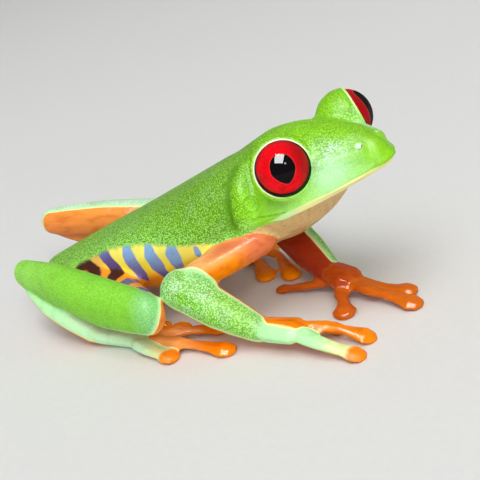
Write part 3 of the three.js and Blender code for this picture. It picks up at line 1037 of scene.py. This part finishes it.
def skin_finish(sizes, tones):
    """Granular green, glossy orange, the barred flank, the pale lip and the throat, in one wet skin."""
    finish = Finish("frog_skin")
    place = finish.place()
    head = finish.field("head").step(0.35, 0.65)
    limbs = finish.field("limbs").step(0.4, 0.6)
    grainy = finish.field("grain")
    wander = noise_of(finish, place, "wander") - 0.5
    broad = noise_of(finish, place, "broad")
    blotch = noise_of(finish, place, "blotch")
    cell = finish.cells(place, 1.0 / sizes.granule)
    fine = finish.noise(place, 2.6 / sizes.granule, 2.0)
    dome = (1.0 - cell * 1.15).step(0.0, 1.0)
    pebble = dome * 0.65 + fine * 0.55

    # Painted shade in the valleys between the granules and painted light on their tops; the valley tone's
    # random blotches are the skin's own.
    depth = pebble.step(0.78, 0.32) * grainy
    # Painted highlights: pale flecks where the wet granules would catch the light.
    sheen_fleck = (blotch * 0.5 + fine * 0.4 + dome * 0.25).step(0.5, 0.72) * finish.field("frost")
    green = finish.layers(
        finish.tinted("green_side"),
        (tones.valley, depth * 0.82 + (broad - 0.5) * 0.35),
        (tones.valley, blotch.step(0.45, 0.75) * (0.16 + 0.16 * grainy)),
        (finish.mix(tones.lime, tones.lemon, 0.25), pebble.step(0.72, 0.95) * grainy * 0.6),
        (tones.frost, sheen_fleck * 0.85),
        # Painted shade in the neck fold behind the jaw.
        (tones.valley, finish.field("fold") * 0.8),
    )

    inside = finish.field("patch") + wander * 0.35
    veins = finish.cells(place, VEIN_SCALE, "DISTANCE_TO_EDGE").step(0.045, 0.0) * 0.3
    darks = finish.mix(finish.tinted("darks"), tones.umber, veins * blotch.step(0.4, 0.6))
    low = finish.field("belly") + wander
    edge = finish.field("edge") + wander * 0.5
    flank = finish.mix(finish.tinted("bars"), darks, inside.step(-0.1, 0.16))
    flank = finish.mix(tones.tan, flank, low.step(-0.4, 0.6))
    trunk = finish.mix(flank, green, edge.step(-0.4, 0.35))

    streak = noise_of(finish, finish.vector("MULTIPLY", place, STREAK_STRETCH), "streak")
    stripes = finish.mix((1.0, 1.0, 1.0), STREAK_TINT, streak.step(0.42, 0.72))
    orange = finish.tint(finish.tinted("hidden_side"), stripes)
    border = finish.field("coat") + wander * 0.06
    edge_mint = finish.mix(green, tones.mint, border.step(0.24, 0.04) * 0.75)
    limb = finish.mix(orange, tones.cream, border.step(-0.13, -0.07))
    limb = finish.mix(limb, edge_mint, border.step(-0.05, 0.04))
    pad = finish.field("tip") + wander * 0.3
    limb = finish.mix(finish.tinted("hidden_side"), limb, pad.step(1.5, 2.1))

    below = finish.mix(tones.tan, tones.salmon, broad.step(0.5, 0.8) * 0.2)
    wrinkle = noise_of(finish, place, "wrinkle")
    below = finish.tint(below, WRINKLE_TINT, wrinkle.step(0.48, 0.7) * 0.6)
    lip_line = finish.field("lip") + wander * 0.08
    mouth = finish.field("mouth") + wander * 0.06
    ring = abs(finish.field("drum") - EARDRUM_RADIUS)
    lip_skin = finish.layers(
        green,
        (finish.tinted("lip_tone"), lip_line.step(-0.06, 0.08)),
        # Painted shade: a dark line along the crease over the lip's rear.
        (tones.valley, finish.field("crease").step(0.16, 0.04) * 0.6),
    )
    face_skin = finish.layers(
        finish.mix(below, lip_skin, mouth.step(-0.05, 0.05)),
        (finish.mix(tones.mint, tones.frost, 0.5), finish.field("nostril").step(0.62, 0.3) * 0.8),
        # Painted shade in the nostril's slit.
        (SLIT_SHADE, finish.field("slit").step(0.42, 0.24)),
        (tones.valley, ring.step(0.2, 0.0) * 0.35),
    )

    on_body = edge.step(-0.3, 0.3).largest(head * mouth.step(-0.1, 0.1))
    green_share = limbs * border.step(-0.1, 0.1) + (1.0 - limbs) * on_body
    folds = noise_of(finish, place, "fold") * 2.1 + noise_of(finish, place, "crease") * 0.7
    height = pebble * (0.12 + green_share * (0.2 + 0.68 * grainy)) + folds * (1.0 - green_share)
    return finish.close(
        Base_Color=finish.layers(trunk, (face_skin, head), (limb, limbs)),
        Roughness=0.16 + 0.28 * green_share + 0.1 * (fine - 0.5),
        Normal=finish.bump(0.85, sizes.relief, height),
        Specular_IOR_Level=0.07,
    )


def spots_of(finish, centre, axes, radius):
    """A point's offset from a centre along each axis, over a radius."""
    off = finish.vector("SUBTRACT", finish.place(), tuple(centre))
    return [finish.vector("DOT_PRODUCT", off, tuple(axis), 1) / radius for axis in axes]


def rounded(wide, tall, power):
    """Distance from a closed curve's middle: an oval at power 2, sharper at its ends below that."""
    return (wide ** power + tall ** power) ** (1.0 / power)


def eye_finish(name, side, sizes, tones):
    """A red iris with darker veins round a tall pupil, pointed below, under a wet cornea."""
    finish = Finish(name)
    place = finish.place()
    across, upward, forward = spots_of(finish, eye_centre(side) * MM, eye_axes(side), sizes.radius)
    pupil_wide = getattr(sizes, "pupil_" + side)
    pupil_tall = pupil_wide * getattr(sizes, "tall_" + side)
    wide = abs((across - getattr(sizes, "lead_" + side)) / pupil_wide)
    tall = abs((upward + getattr(sizes, "drop_" + side)) / pupil_tall)
    lower = upward.step(0.15, -0.3) * POINTED[side]
    behind = forward.step(0.05, -0.05) * 3.0
    pupil = rounded(wide, tall, 2.1) * (1.0 - lower) + rounded(wide, tall, 1.55) * lower + behind
    lifted = upward - IRIS_LIFT
    from_axis = (across * across + lifted * lifted) ** 0.5 + behind
    streaks = noise_of(finish, place, "iris_streaks")
    blotch = noise_of(finish, place, "iris_blotch")
    shaded = (across * -1.0).step(0.15, 0.75) * 0.9 if side == "right" else across.step(-0.3, 0.3)
    red = finish.layers(
        tones.iris,
        (tones.vein, (streaks * 0.8 + blotch * 0.6).step(0.58, 1.0) * 0.75),
        (tones.vein, shaded),
        (tones.vein, from_axis.step(0.76, 0.9) * 0.5),
        (tones.gold, pupil.step(1.08, 1.03) * 0.12),
    )
    eye = finish.mix(EYE_BLACK, red, pupil.step(0.99, 1.03))
    grazing = finish.add("ShaderNodeLayerWeight", {}, {"Blend": 0.5}, 1)
    return finish.close(
        Base_Color=finish.mix(eye, EYE_BLACK, from_axis.step(0.875, 0.9)),
        Roughness=0.3 + 0.1 * streaks,
        Normal=finish.bump(0.2, 0.02 * MM, streaks * from_axis.step(0.9, 0.85)),
        Specular_IOR_Level=0.0,
        Coat_Weight=1.0 - grazing.step(0.35, 0.85) * 0.9,
        Coat_Roughness=0.01,
        Coat_IOR=1.21,
    )


def rim_finish(side, sizes, tones):
    """The bead of skin round an eye: cream above and behind, green in front."""
    finish = Finish("lid_rim_" + side)
    speckle = noise_of(finish, finish.place(), "lid")
    up, forward = eye_axes(side)[1:]
    rear = -head_axes()[:, 0]
    rear = unit(rear - forward * (rear @ forward))
    toward = unit(0.61 * rear + 0.79 * up)
    spot = spots_of(finish, eye_centre(side) * MM, [toward], sizes.radius)[0]
    cream = finish.mix(LID_CREAM, tones.cream, speckle.step(0.4, 0.8) * 0.4)
    green = finish.mix(tones.lime, tones.face, speckle.step(0.4, 0.8))
    pale = finish.mix(green, cream, (spot + speckle * 0.3).step(-0.6, 0.1) * RIM_CREAM[side])
    return finish.close(
        Base_Color=pale,
        Roughness=0.32 + 0.1 * speckle,
        Normal=finish.bump(0.4, 0.03 * MM, speckle),
        Specular_IOR_Level=0.1,
    )


def floor_finish():
    """A pale, even paper."""
    finish = Finish("studio_floor")
    pale = finish.mix(*PAPER_TONES, noise_of(finish, finish.place(), "paper"))
    return finish.close(Base_Color=pale, Roughness=0.9, Specular_IOR_Level=0.0)


# ---- pieces


def finished(piece, mesh_material):
    """Gives a piece its one material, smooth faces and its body."""
    piece.data.materials.clear()
    piece.data.materials.append(mesh_material)
    piece.data.polygons.foreach_set("use_smooth", [True] * len(piece.data.polygons))
    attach(piece, "root")


def build_skin(context):
    """One closed skin over all the flesh, smoothed, sculpted and painted."""
    sizes = context.scene.frog_skin
    tones = context.scene.frog_colours
    trees = stranger_trees()
    mesh = largest_part(remeshed(flesh_mesh(sizes, trees), sizes.voxel / MM))
    surface = Surface(mesh)
    owner = owners(surface.points)
    sharp = np.zeros((len(owner), len(FLESH)))
    sharp[np.arange(len(owner)), owner] = 1.0
    apart = sizes.apart / MM
    clear = clearances(surface.points, owner, trees, apart * 2.6)
    kept = surface.spread(growth(clear, apart), 2)
    closing = surface.spread(np.clip(apart - clear, 0.0, apart / 2), 2)
    surface.relax(sizes.rounds, surface.spread(sharp @ by_kind(SOFTNESS, 1.0), 6), 0.85)
    surface.relax(sizes.rounds * 2, surface.spread(sharp @ by_kind(BROADNESS, 0.0), 8), 0.92)
    surface.push(closing * CLOSED - sizes.seam / MM * kept)
    head = sharp[:, FLESH.index("head")] + sharp[:, FLESH.index("lower_jaw")]
    head = surface.spread(head, 6)
    sculpt_head(surface, head)
    surface.relax(2, np.full(len(head), 0.5), 0.9)
    values, colours = skin_fields(surface, surface.spread(sharp, 3), tones)
    for name, value in values.items():
        layer = mesh.attributes.new(name, "FLOAT", "POINT")
        layer.data.foreach_set("value", value.astype(np.float32))
    for name, value in colours.items():
        layer = mesh.attributes.new(name, "FLOAT_COLOR", "POINT")
        opaque = np.concatenate((value, np.ones((len(value), 1))), axis=1)
        layer.data.foreach_set("color", opaque.astype(np.float32).ravel())
    mesh.vertices.foreach_set("co", (surface.points * MM).astype(np.float32).ravel())
    mesh.update()
    skin = linked("skin", mesh)
    finished(skin, skin_finish(sizes, tones))
    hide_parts(*FLESH)


def eye_axes(side):
    """Across, up and forward directions of an eye's paint: up leans with the head."""
    forward = gaze(side)
    up = head_axes()[:, 2]
    up = unit(up - forward * (up @ forward))
    across = np.cross(forward, up)
    return across, up, forward


def posed(axes, place):
    """A matrix with these three axes at this place."""
    pose = Matrix(np.stack(axes, 1).tolist()).to_4x4()
    pose.translation = Vector(place)
    return pose


def build_eye(context, side):
    """A finely turned eyeball."""
    sizes = context.scene.frog_eyes
    mesh = bpy.data.meshes.new("eyeball_" + side)
    turn = posed(eye_axes(side), (0, 0, 0))
    with editing(mesh) as work:
        bmesh.ops.create_uvsphere(work, u_segments=96, v_segments=64, radius=sizes.radius)
        bmesh.ops.transform(work, matrix=turn, verts=work.verts)
        bmesh.ops.translate(work, vec=Vector(eye_centre(side) * MM), verts=work.verts)
    eye = linked("eyeball_" + side, mesh)
    finished(eye, eye_finish("eye_" + side, side, sizes, context.scene.frog_colours))
    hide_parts(EYES[side])


def rim_tree(material):
    """Nodes that run a round bead along a closed path: inputs Bead and Sides."""
    tree = bpy.data.node_groups.new("lid_rim_bead", "GeometryNodeTree")
    for name, way, kind in (
        ("Geometry", "INPUT", "Geometry"),
        ("Bead", "INPUT", "Float"),
        ("Sides", "INPUT", "Int"),
        ("Geometry", "OUTPUT", "Geometry"),
    ):
        tree.interface.new_socket(name, in_out=way, socket_type="NodeSocket" + kind)
    given, path, profile, sweep, real, paint, result = (tree.nodes.new(kind) for kind in RIM_NODES)
    paint.inputs["Material"].default_value = material
    for source, output, target, socket in (
        (given, "Geometry", path, "Mesh"),
        (given, "Bead", profile, "Radius"),
        (given, "Sides", profile, "Resolution"),
        (path, "Curve", sweep, "Curve"),
        (profile, "Curve", sweep, "Profile Curve"),
        (sweep, "Mesh", real, "Geometry"),
        (real, "Geometry", paint, "Geometry"),
        (paint, "Geometry", result, "Geometry"),
    ):
        tree.links.new(source.outputs[output], target.inputs[socket])
    return tree


def build_rim(context, side, tree, material):
    """The lid's pale bead, swept round the eyeball in the lid's plane."""
    sizes = context.scene.frog_eyes
    across, up, forward = eye_axes(side)
    centre = eye_centre(side) * MM
    depth = getattr(sizes, "lid_depth_" + side)
    opening = math.sqrt(sizes.radius**2 - depth**2)
    path = bpy.data.meshes.new("lid_path_" + side)
    with editing(path) as work:
        ring = []
        for step in range(RIM_STEPS):
            turn = math.tau * step / RIM_STEPS
            spoke = across * math.cos(turn) + up * math.sin(turn)
            ring.append(work.verts.new(centre + forward * depth + spoke * opening))
        for first, second in zip(ring, ring[1:] + ring[:1]):
            work.edges.new((first, second))
    holder = linked("lid_path_" + side, path)
    bead = holder.modifiers.new("Bead", "NODES")
    bead.node_group = tree
    sockets = {item.name: item.identifier for item in tree.interface.items_tree if item.in_out == "INPUT"}
    bead[sockets["Bead"]] = sizes.rim
    bead[sockets["Sides"]] = RIM_SIDES
    mesh = evaluated(holder)
    bpy.data.objects.remove(holder)
    mesh.name = "lid_rim_" + side
    rim = linked("lid_rim_" + side, mesh)
    with editing(mesh) as work:
        bmesh.ops.remove_doubles(work, verts=work.verts, dist=MERGED)
        bmesh.ops.recalc_face_normals(work, faces=work.faces)
    finished(rim, material)


def camera_axes(studio):
    """Right, up and back directions of the camera."""
    azimuth, elevation, roll = (math.radians(v) for v in (studio.azimuth, studio.elevation, studio.roll))
    back = np.array((math.sin(azimuth), -math.cos(azimuth), 0.0)) * math.cos(elevation)
    back[2] = math.sin(elevation)
    right = unit(np.cross((0, 0, 1), back))
    up = np.cross(back, right)
    tilted_right = math.cos(roll) * right + math.sin(roll) * up
    tilted_up = -math.sin(roll) * right + math.cos(roll) * up
    return tilted_right, tilted_up, back


def place_lamp(name, size, power, view, towards, target):
    """A flat lamp facing the target from a direction, whose length is its distance over LAMP_REACH."""
    data = bpy.data.lights.new(name, "AREA")
    data.shape = "RECTANGLE"
    data.size, data.size_y = size
    data.energy = power
    away = np.linalg.norm(towards) * LAMP_REACH
    towards = unit(towards)
    lamp_x = unit(np.cross(view[1], towards))
    lamp_y = np.cross(towards, lamp_x)
    lamp = linked(name, data)
    lamp.matrix_world = posed((lamp_x, lamp_y, towards), target + towards * away)
    return lamp


def build_studio(context):
    """A pale floor, a soft box with a small lamp beside it, even light all round and the camera."""
    studio = context.scene.frog_studio
    right, up, back = camera_axes(studio)
    target = np.array(CAMERA_TARGET) * MM

    lens = bpy.data.cameras.new("camera")
    lens.lens = studio.lens
    lens.sensor_width = 36.0
    lens.clip_start = 0.01
    lens.clip_end = 20.0
    camera = linked("camera", lens)
    camera.matrix_world = posed((right, up, back), target + back * studio.distance)
    context.scene.camera = camera

    mesh = bpy.data.meshes.new("floor")
    with editing(mesh) as work:
        bmesh.ops.create_grid(work, x_segments=8, y_segments=8, size=3.0)
    floor = linked("floor", mesh)
    mesh.materials.append(floor_finish())

    # The soft box is two lamps: one lights the colours, and one shows in what is wet.
    high = unit(right * -0.26 + up * 0.60 + back * 0.756)
    box = place_lamp("soft_box", (0.87, 1.02), studio.key, (right, up), high, target)
    box.visible_glossy = False
    gleam = place_lamp("soft_box_gleam", (0.78, 0.92), studio.gleam, (right, up), high * 0.9, target)
    gleam.visible_diffuse = False
    front = place_lamp("front_panel", (0.8, 0.8), studio.front, (right, up), back, target)
    front.visible_glossy = False
    beside = right * 0.12 + up * 0.30 + back * 0.94
    place_lamp("spark", (0.18, 0.18), studio.spark, (right, up), beside, target)

    world = bpy.data.worlds.new("studio")
    world.use_nodes = True
    even = world.node_tree.nodes["Background"]
    even.inputs["Color"].default_value = (1.0, 1.0, 1.0, 1.0)
    even.inputs["Strength"].default_value = studio.fill
    context.scene.world = world
    context.scene.view_settings.view_transform = "Standard"


# ---- operators and panel


class FROG_OT_skin(bpy.types.Operator):
    """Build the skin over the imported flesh"""

    bl_idname = "frog.skin"
    bl_label = "Skin"

    def execute(self, context):
        build_skin(context)
        return {"FINISHED"}


class FROG_OT_eyes(bpy.types.Operator):
    """Build both eyeballs"""

    bl_idname = "frog.eyes"
    bl_label = "Eyes"

    def execute(self, context):
        for side in SIDES:
            build_eye(context, side)
        return {"FINISHED"}


class FROG_OT_rims(bpy.types.Operator):
    """Build the pale lid rims"""

    bl_idname = "frog.rims"
    bl_label = "Lid rims"

    def execute(self, context):
        for side in SIDES:
            material = rim_finish(side, context.scene.frog_eyes, context.scene.frog_colours)
            build_rim(context, side, rim_tree(material), material)
        return {"FINISHED"}


class FROG_OT_studio(bpy.types.Operator):
    """Set the floor, the light and the camera"""

    bl_idname = "frog.studio"
    bl_label = "Studio"

    def execute(self, context):
        build_studio(context)
        return {"FINISHED"}


OPERATORS = (FROG_OT_skin, FROG_OT_eyes, FROG_OT_rims, FROG_OT_studio)
SETTINGS = {
    "frog_skin": FrogSkinSettings,
    "frog_colours": FrogColourSettings,
    "frog_eyes": FrogEyeSettings,
    "frog_studio": FrogStudioSettings,
}


class FROG_PT_panel(bpy.types.Panel):
    """Lists the frog's pieces and their sizes and colours"""

    bl_label = "Tree frog"
    bl_idname = "FROG_PT_panel"
    bl_space_type = "VIEW_3D"
    bl_region_type = "UI"
    bl_category = "Tree frog"

    def draw(self, context):
        for operator in OPERATORS:
            self.layout.operator(operator.bl_idname)
        for name, group in SETTINGS.items():
            box = self.layout.box()
            settings = getattr(context.scene, name)
            for prop in group.__annotations__:
                box.prop(settings, prop)


def register():
    for group in (*SETTINGS.values(), *OPERATORS, FROG_PT_panel):
        bpy.utils.register_class(group)
    for name, group in SETTINGS.items():
        setattr(bpy.types.Scene, name, bpy.props.PointerProperty(type=group))


def unregister():
    for name in SETTINGS:
        delattr(bpy.types.Scene, name)
    for group in reversed((*SETTINGS.values(), *OPERATORS, FROG_PT_panel)):
        bpy.utils.unregister_class(group)


def corners(bounds):
    return [[float(value) for value in corner] for corner in bounds]


def main():
    register()
    bpy.ops.frog.skin()
    bpy.ops.frog.eyes()
    bpy.ops.frog.rims()
    bpy.ops.frog.studio()


if __name__ == "__main__":
    main()
